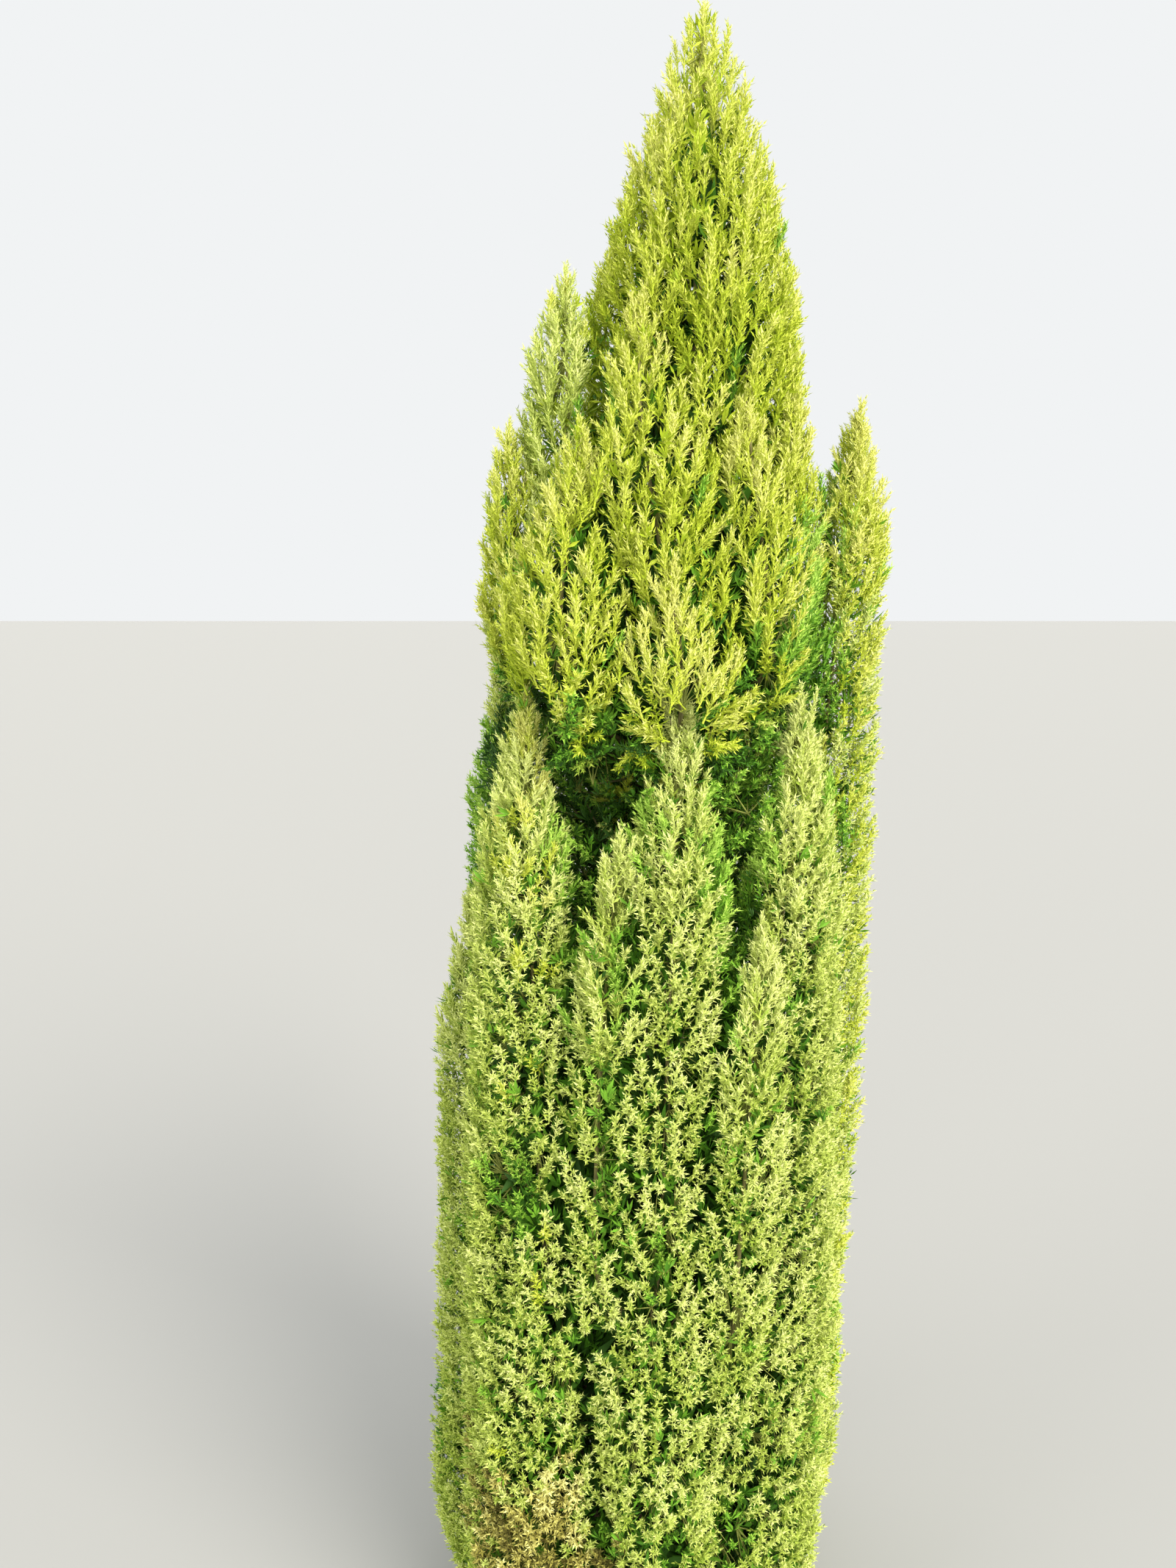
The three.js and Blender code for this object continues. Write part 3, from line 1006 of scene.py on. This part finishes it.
def gather_into_plumes(sprays, points, upper, random):
    """Each lateral's sprays form a plume: proud at its point, leaning from its middle, set back below."""
    wide, tall = UPPER_PLUME if upper else LOWER_PLUME
    to_point = points[None] - sprays.tips[:, None]
    level = np.linalg.norm(to_point[:, :, :2], axis=2)
    upright = (to_point[:, :, 2] - 0.3 * tall) / (0.8 * tall)
    sprays.plume = np.argmin((level / wide) ** 2 + upright ** 2, axis=1)
    point = points[sprays.plume]
    sprays.below = np.clip((point[:, 2] - sprays.tips[:, 2]) / tall, -0.2, 1)
    aside = (sprays.tips - point) * (1, 1, 0)
    aside -= sprays.outward * (aside * sprays.outward).sum(axis=1, keepdims=True)
    sprays.off_middle = np.minimum(np.linalg.norm(aside, axis=1) / (0.6 * wide), 1.3)
    apart = sprays.off_middle * (0.16 if upper else 0.10)
    sprays.ways = unit(sprays.ways + unit(aside) * apart[:, None])
    proud = (0.005 if upper else 0.003) - 0.006 * np.clip(sprays.below, 0, 1) - 0.004 * sprays.off_middle ** 2
    proud += random.uniform(-0.003, 0.003, len(sprays.tips))
    sprays.tips = sprays.tips + sprays.outward * proud[:, None]
    sprays.sizes = sprays.sizes * (1.06 - 0.12 * sprays.off_middle)


def bring_folds_forward(sprays):
    """Sprays in the folds between masses come forward, but not out of the crown."""
    folded = np.clip((FOLD_OPEN - sprays.free) / FOLD_OPEN, 0, 1)
    out = unit((sprays.tips - hearts_of(sprays.tips, trunk_line)) * (1, 1, 0))
    for i in np.flatnonzero(folded):
        step = folded[i] * FOLD_FILL
        past = crown_tree.find_nearest(Vector(sprays.tips[i] + out[i] * step))[3] - FOLD_REACH
        sprays.tips[i] += out[i] * (step - max(0, min(past, step)))
    sprays.outward = unit(sprays.outward * (1 - folded)[:, None] + out * folded[:, None])


def sink_into_slots(sprays):
    """Sprays in the dark slots stand back in the shade, and a lower openness gives them darker tints as
    painted shade.
    """
    for slot in DARK_SLOTS:
        off = how_far_off(sprays.tips, slot)
        within = off < 1
        back = SLOT_DEPTH * (1 - off[within] ** 2)
        sprays.tips[within] -= sprays.outward[within] * back[:, None]
        sprays.free[within] = np.minimum(sprays.free[within], 0.5 * off[within])
        sprays.sizes[within] *= SLOT_SIZE


def add_crest(sprays, levels, tip, top_plume, random):
    """One spray at the very tip of a mass and a few just under it, all steep and slender."""
    for level, count, tilt in levels:
        slope = math.tan(math.radians(tilt))
        for order in range(count):
            turn = order * 2 * math.pi / count + level * 40 + random.uniform(-0.5, 0.5)
            side = np.array([math.cos(turn), math.sin(turn), 0])
            sprays.extend(
                tips=tip + side * level * slope * 1.3 - (0, 0, level),
                ways=unit(side * slope + (0, 0, 1) + random.normal(0, 0.03, 3)),
                outward=side, free=1, to_top=0, under=False, styles=SHOOT_STYLE,
                sizes=random.uniform(0.78, 0.95), plume=top_plume, below=0, off_middle=0)


def tints_in(tint_list, age_and_shade, newest=0):
    """The numbers of a list's tints by age and painted shade, none newer than that step."""
    return LIST_STARTS[tint_list] + np.clip(np.round(age_and_shade), newest, LIST_LENGTHS[tint_list] - 1).astype(int)


def spray_piece(name, node, sprays, golden, random):
    """Joins the sprays' copies: golden on open sunny tips, greener in the folds, dry in the dead patch. Their
    tints are darker as painted shade in the folds, the fringe, the shady flanks and the slots and away from
    the key light, and lighter as painted light on the sunny side low down.
    """
    count = len(sprays.tips)
    fold = 1 - np.clip(sprays.free * 1.5, 0, 1)
    branch = patches(sprays.tips, random)
    to_tip = 1 - sprays.to_top
    ages_and_shade = random.normal(0, AGE_SPREAD, count) + FOLD_SHADE_STEPS * fold + BRANCH_AGE * branch - TIP_YOUTH * to_tip
    in_plume = BELOW_AGE_AND_SHADE * (sprays.below - 0.4) + ASIDE_AGE_AND_SHADE * (sprays.off_middle - 0.5)
    ages_and_shade += in_plume + np.where(sprays.under, FRINGE_SHADE_STEPS, OTHER_AGE)
    ages_and_shade += FOOT_SHADE_STEPS * np.clip((FOOT_SHADE - sprays.tips[:, 2]) / FOOT_BLEND, 0, 1)
    sunny = sprays.outward @ unit(np.array(KEY_FROM))
    ages_and_shade += np.clip(-sunny, 0, 1) * random.normal(*AWAY_SHADE_STEPS, count)
    if node not in UPPER_MASSES:
        ages_and_shade -= LOWER_YOUTH + SUNNY_LIGHT_STEPS * np.clip(sunny, 0, 1)
    golden = golden + BRANCH_GOLD * branch + SUNNY_GOLD * sunny + TIP_GOLD * to_tip
    fringe = np.where(sprays.under, FRINGE_GREEN, 0)
    golden += random.normal(0, GOLD_SPREAD, count) - FOLD_GREEN * fold - fringe
    lists = np.where(golden > GOLDEN_FROM, GOLD_LIST, SOFT_LIST)
    ages_and_shade += LIST_START_AGE
    shaded = fold + 0.25 * branch + random.normal(0, 0.15, count) > SHADED_FROM
    shaded |= sprays.under & (random.random(count) < 0.5)
    for flank in SHADY_FLANKS:
        shady = how_far_off(sprays.tips, flank) + random.normal(0, 0.2, count) < FLANK_EDGE
        shaded |= shady
        ages_and_shade[shady] += FLANK_SHADE_STEPS
    shaded &= sprays.to_top > 0.3
    lists[shaded] = SHADE_LIST
    ages_and_shade[shaded] -= SHADE_LIST_YOUTH
    dead = how_far_off(sprays.tips, DEAD_PATCH) + random.normal(0, 0.28, count) < DEAD_EDGE
    lists[dead] = DRY_LIST
    ages_and_shade[dead] -= DRY_YOUTH
    sprays.styles = np.where(dead, DRY_STYLE, sprays.styles)

    def tint_of(age_and_shade, owners):
        return tints_in(lists[owners], age_and_shade)

    matrices = turned_to(sprays.ways, sprays.outward, random.uniform(-0.7, 0.7, count))
    blocks = []
    for style, variants in enumerate(spray_variants):
        blocks += copied(
            variants, sprays.styles == style, sprays.bases(), matrices, sprays.sizes, ages_and_shade, tint_of)
    joined(name, blocks, leaf_tints, node)


def laterals_to(points, spine):
    """A lateral from the leader to just under each plume's point."""
    lines = []
    for point in points:
        heart = at_height(spine, point[2])
        reach = float(np.linalg.norm((point - heart)[:2]))
        start = at_height(spine, point[2] - LATERAL_RISE * reach - LATERAL_BELOW)
        end = point + (heart - point) * min(0.9, LATERAL_SHORT / (reach + 1e-6)) - (0, 0, LATERAL_BELOW)
        bulge = start * 0.35 + end * 0.65
        bulge[2] = start[2] * 0.75 + end[2] * 0.25
        lines.append(bezier(start, bulge, end, 5))
    return lines


def twig_piece(name, node, laterals, sprays):
    """Joins the laterals and the twigs that carry the sprays from them."""
    blocks = []
    for line in laterals:
        thick = LATERAL_FOOT + LATERAL_THICKENING * float(np.linalg.norm((line[-1] - line[0])[:2]))
        points, faces = tube(line, np.linspace(thick, LATERAL_TIP, len(line)), 4)
        blocks.append((points, faces, np.zeros(len(faces), int)))
    for base, way, number in zip(sprays.bases(), sprays.ways, sprays.plume):
        line = laterals[number]
        start = line[1 + np.argmin(((line[1:] - (base - (0, 0, 0.02))) ** 2).sum(axis=1))]
        points, faces = tube(np.stack([start, base + way * 0.008]), TWIG_RADII, 3)
        blocks.append((points, faces, np.ones(len(faces), int)))
    joined(name, blocks, twig_skins, node)


def fan_turns(facing, lean, random):
    """Turns for old fans that rise and lean out, flat sides outwards."""
    ways = unit(facing * lean + (0, 0, 0.8) + random.normal(0, 0.3, facing.shape))
    return turned_to(ways, facing, random.uniform(-0.6, 0.6, len(facing)))


def inner_piece(name, node, triangles, spine, random):
    """Old foliage inside a mass, longer the deeper it is, and darker too: partly older growth, partly painted
    shade.
    """
    upper = node in UPPER_MASSES
    low, high = (np.array(corner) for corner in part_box(node))
    each = UPPER_INNER_EACH if upper else LOWER_INNER_EACH
    spots = low + random.random((int(np.prod(high - low) * each), 3)) * (high - low)
    spots = spots[is_inside(tree_of(triangles), spots)]
    deep = depth_of(spots)
    first, last = INNER_DEPTHS
    chosen = (deep > first) & ((deep < last) | (random.random(len(deep)) < INNER_CORE))
    if upper:
        chosen &= ~in_any(spots, SHOWN_TIPS)
    spots, deep = spots[chosen], deep[chosen]
    spots[:, 2] = np.maximum(spots[:, 2], 0.02)
    facing = outward_of(spots, np.zeros(spots.shape), spine)
    matrices = fan_turns(facing, 0.3, random)
    share = np.minimum((deep - first) / (last - first), 1)
    ages_and_shade = INNER_AGES_AND_SHADE[0] + INNER_AGES_AND_SHADE[1] * share + random.normal(0, 0.4, len(spots))
    olive = (random.random(len(spots)) < 1.2 - 1.4 * share) & upper
    olive &= spots[:, 2] > low[2] + 2 * FRINGE_HEIGHT

    def tint_of(age_and_shade, owners):
        return np.where(olive[owners], tints_in(GOLD_LIST, age_and_shade + 2, 3), tints_in(SHADE_LIST, age_and_shade, 2))

    sizes = random.uniform(0.85, 1.15, len(spots)) * np.clip(deep / FULL_SIZE_DEPTH, *INNER_SIZES)
    blocks = copied(inner_fans, np.ones(len(spots), bool), spots, matrices, sizes, ages_and_shade, tint_of)
    joined(name, blocks, leaf_tints, node)


def grow_mass(node, spine):
    """Laterals, twigs, sprays and old inner foliage of one mass, from its spine outwards."""
    random = np.random.default_rng(SEED + sum(ord(letter) * (at + 1) for at, letter in enumerate(node)))
    upper = node in UPPER_MASSES
    triangles = solid_triangles(node)
    sprays = surface_sprays(node, triangles, spine, random)
    points = plume_points(triangles, *(UPPER_PLUME if upper else LOWER_PLUME), random)
    gather_into_plumes(sprays, points, upper, random)
    bring_folds_forward(sprays)
    sink_into_slots(sprays)
    levels = MAIN_CREST_LEVELS if node == "main_spire" else CREST_LEVELS
    add_crest(sprays, levels, spine[-1], int(np.argmax(points[:, 2])), random)
    spray_piece(node + "_sprays", node, sprays, GOLDEN.get(node, OTHERS_GOLDEN), random)
    twig_piece(node + "_twigs", node, laterals_to(points, spine), sprays)
    inner_piece(node + "_inner_sprays", node, triangles, spine, random)


def fill_gaps():
    """Old fans in the narrow air between the masses, wherever most nearly level looks meet a mass."""
    random = np.random.default_rng(GAP_SEED)
    spots = [GAPS_LOW + random.random((GAP_TRIES, 3)) * (GAPS_HIGH - GAPS_LOW)]
    for middle, half in HOLLOWS[1:]:
        spots.append(middle + random.uniform(-1, 1, (HOLLOW_TRIES, 3)) * half)
    spots = np.concatenate(spots)
    spots = spots[~is_inside(crown_tree, spots)]
    turns = np.arange(GAP_LOOKS) * 2 * math.pi / GAP_LOOKS
    looks = [Vector((math.cos(turn), math.sin(turn), GAP_LOOK_RISE)) for turn in turns]

    def meets(spot, look):
        return crown_tree.ray_cast(Vector(spot), Vector(look), GAP_WIDTH)[0] is not None

    met = np.array([sum(meets(spot, look) for look in looks) / GAP_LOOKS for spot in spots])
    deep = depth_of(spots)
    facing = outward_of(spots, np.zeros(spots.shape), trunk_line)
    covered = np.array([meets(spot, way) for spot, way in zip(spots, facing)])
    enclosed = met >= np.where(covered, GAP_CLOSED, GAP_CLOSED + GAP_CLOSED_MORE)
    enclosed |= in_any(spots, HOLLOWS)
    enclosed &= ~in_any(spots, SHOWN_TIPS + [RIGHT_NOTCH])
    spots, deep, facing, covered = spots[enclosed], deep[enclosed], facing[enclosed], covered[enclosed]
    matrices = fan_turns(facing, 0.4, random)
    ages_and_shade = GAP_AGE_AND_SHADE + random.normal(0, 0.5, len(spots))
    # Painted shade: fans in the dark slots and hollows take darker tints
    for dark in DARK_SLOTS + HOLLOWS:
        ages_and_shade[how_far_off(spots, dark) < 1] += HOLLOW_SHADE_STEPS

    def tint_of(age_and_shade, owners):
        return tints_in(SHADE_LIST, age_and_shade)

    sizes = random.uniform(0.85, 1.15, len(spots)) * np.clip(deep / FULL_SIZE_DEPTH, *GAP_SIZES)
    sizes *= np.where(covered, 1, UNCOVERED_SIZE)
    blocks = copied(inner_fans, np.ones(len(spots), bool), spots, matrices, sizes, ages_and_shade, tint_of)
    joined("gap_inner_sprays", blocks, leaf_tints, "main_spire")


def grow_collar():
    """Green branches round the trunk, in the shade between the lower spires and the upper crown."""
    random = np.random.default_rng(COLLAR_SEED)
    angles = random.uniform(-math.pi, math.pi, COLLAR_TRIES)
    level = np.zeros(COLLAR_TRIES)
    heights = random.uniform(*COLLAR_HEIGHTS, COLLAR_TRIES)
    middles = hearts_of(np.stack([level, level, heights], axis=1), trunk_line)
    outward = np.stack([np.cos(angles), np.sin(angles), level], axis=1)
    reaches = COLLAR_REACH * np.sqrt(random.uniform(0.25, 1, COLLAR_TRIES))
    tips = middles + outward * reaches[:, None]
    kept = spread_out(tips, COLLAR_SPACING)
    tips, outward = tips[kept], outward[kept]
    clear = ~is_inside(crown_tree, tips) & ~in_any(tips, DARK_SLOTS + SHOWN_TIPS)
    tips, outward = tips[clear], outward[clear]
    count = len(tips)
    ways = outward * random.uniform(0.6, 1.1, (count, 1)) + (0, 0, 0.9)
    ways = unit(ways + random.normal(0, 0.15, (count, 3)))
    # Their low openness gives these sprays the shade tints and darker steps, as painted shade
    sprays = Sprays(
        tips=tips, ways=ways, outward=outward, free=np.full(count, 0.2), to_top=np.ones(count),
        under=np.zeros(count, bool), styles=np.full(count, FRINGE_STYLE),
        sizes=random.uniform(0.65, 0.9, count), below=np.zeros(count), off_middle=np.full(count, 0.1))
    points = tips[spread_out(tips, COLLAR_LATERAL_SPACING)]
    sprays.plume = np.argmin(np.linalg.norm(points[None] - tips[:, None], axis=2), axis=1)
    spray_piece("collar_sprays", "main_spire", sprays, 0, random)
    twig_piece("collar_twigs", "main_spire", laterals_to(points, trunk_line), sprays)


def grow_trunk():
    """The trunk, from a little below the cut so that the cut is level and clean."""
    triangles = solid_triangles("trunk")
    path = [Vector((*trunk_line[0][:2], -CUT_SPARE))] + [Vector(point) for point in trunk_line]
    radii = [section_radius(triangles, max(p.z, 0.001), np.array(p)) for p in path[:-1]]
    radii.append(radii[-1] * 0.8)
    trunk = lofted_limb("trunk_bark", path, radii, **TRUNK_BARK)
    flat_cut(trunk)
    finish_limb(trunk, "trunk", old_bark)


def grow_bough(node):
    """The low bough that carries a mass: its whole route, and the end of it that is hidden in the mass."""
    x, y = BOUGH_FEET[node]
    leaves = BOUGH_FIRST + list(BOUGH_FEET).index(node) * BOUGH_SPACING
    start = at_height(trunk_line, leaves)
    over = (x * BOUGH_TURN_REACH, y * BOUGH_TURN_REACH, leaves + BOUGH_TURN_RISE)
    into = (x * BOUGH_REACH, y * BOUGH_REACH, leaves + BOUGH_RISE)
    route = bezier(start, over, into, len(BOUGH_RADII))
    bough_node = node.replace("spire", "bough")
    shown = int((route[:, 2] <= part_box(bough_node)[1].z + BOUGH_HIDDEN).sum())
    bough = lofted_limb(bough_node + "_bark", route[:shown], BOUGH_RADII[:shown], **BOUGH_BARK)
    finish_limb(bough, bough_node, old_bark)
    return route, route[shown - 1:]


def grow_leader(node):
    """The limb up the middle of a mass, from the trunk, a low bough or the mass beside it; gives its line."""
    middle = spine_of(node, SPINE_POINTS)
    if node == "main_spire":
        return trunk_line[trunk_line[:, 2] > middle[0, 2] - 0.1]
    if node in BOUGH_FEET:
        route, lead = grow_bough(node)
        middle = sheltered(middle[middle[:, 2] > lead[-1, 2] + LEADER_ABOVE])
    else:
        parent = spines[SIDE_LIMBS[node]] if node in SIDE_LIMBS else trunk_line
        start = at_height(parent, middle[0, 2] - LEADER_BELOW)
        middle = sheltered(middle[2:])
        route = lead = bezier(start, (start + middle[0]) / 2, middle[0], 6)[:-1]
    line = np.vstack([lead, middle])
    line[-1, 2] -= LEADER_SHORT
    radii = np.linspace(LEADER_BASE, LEADER_TIP, len(line))
    limb = lofted_limb(node + "_limb", line, radii, **LEADER_BARK)
    finish_limb(limb, node, young_bark)
    return np.vstack([route, middle])


add_camera()
add_floor()
add_lights()

old_bark = bark_material("fibrous_cypress_bark", ("#3A2418", "#6B4530", "#93765C"), "#8C8174")
young_bark = bark_material("young_olive_bark", ("#3A3418", "#5F5629", "#80763F"), "#86804E")
leaf_tints = [
    leaf_material(f"{name}_{number + 1}", colour)
    for name, colours in TINTS.items() for number, colour in enumerate(colours)
]
GOLD_LIST, SOFT_LIST, SHADE_LIST, DRY_LIST = range(len(TINTS))
LIST_LENGTHS = np.array([len(colours) for colours in TINTS.values()])
LIST_STARTS = np.cumsum(LIST_LENGTHS) - LIST_LENGTHS
twig_skins = [twig_material("olive_twig_bark", "#5C5830"), twig_material("green_twig_skin", "#8C9440")]

trunk_line = spine_of("trunk", TRUNK_POINTS)
grow_trunk()

spray_variants = []
for number, style in enumerate(STYLES):
    random = np.random.default_rng(SEED + STYLE_SEED_STEP * number)
    spray_variants.append([spray(random, style) for _ in range(VARIANTS)])
random = np.random.default_rng(FAN_SEED)
inner_fans = [inner_fan(random) for _ in range(VARIANTS)]

all_triangles = np.vstack([solid_triangles(node) for node in UPPER_MASSES + LOWER_MASSES])
crown_tree = tree_of(all_triangles)

# The crown's open outside, as points that tell how deep a place in the crown is
random = np.random.default_rng(OUTSIDE_SEED)
outside, outside_normals = surface_points(all_triangles, OUTSIDE_SPACING, random)
outside = outside[openness(outside, outside_normals, OUTSIDE_LOOKS, random) > LEAST_OPEN]
open_points = KDTree(len(outside))
for number, point in enumerate(outside):
    open_points.insert(Vector(point), number)
open_points.balance()

spines = {}
for node in UPPER_MASSES + LOWER_MASSES:
    spines[node] = grow_leader(node)
    grow_mass(node, spines[node])
grow_collar()
fill_gaps()
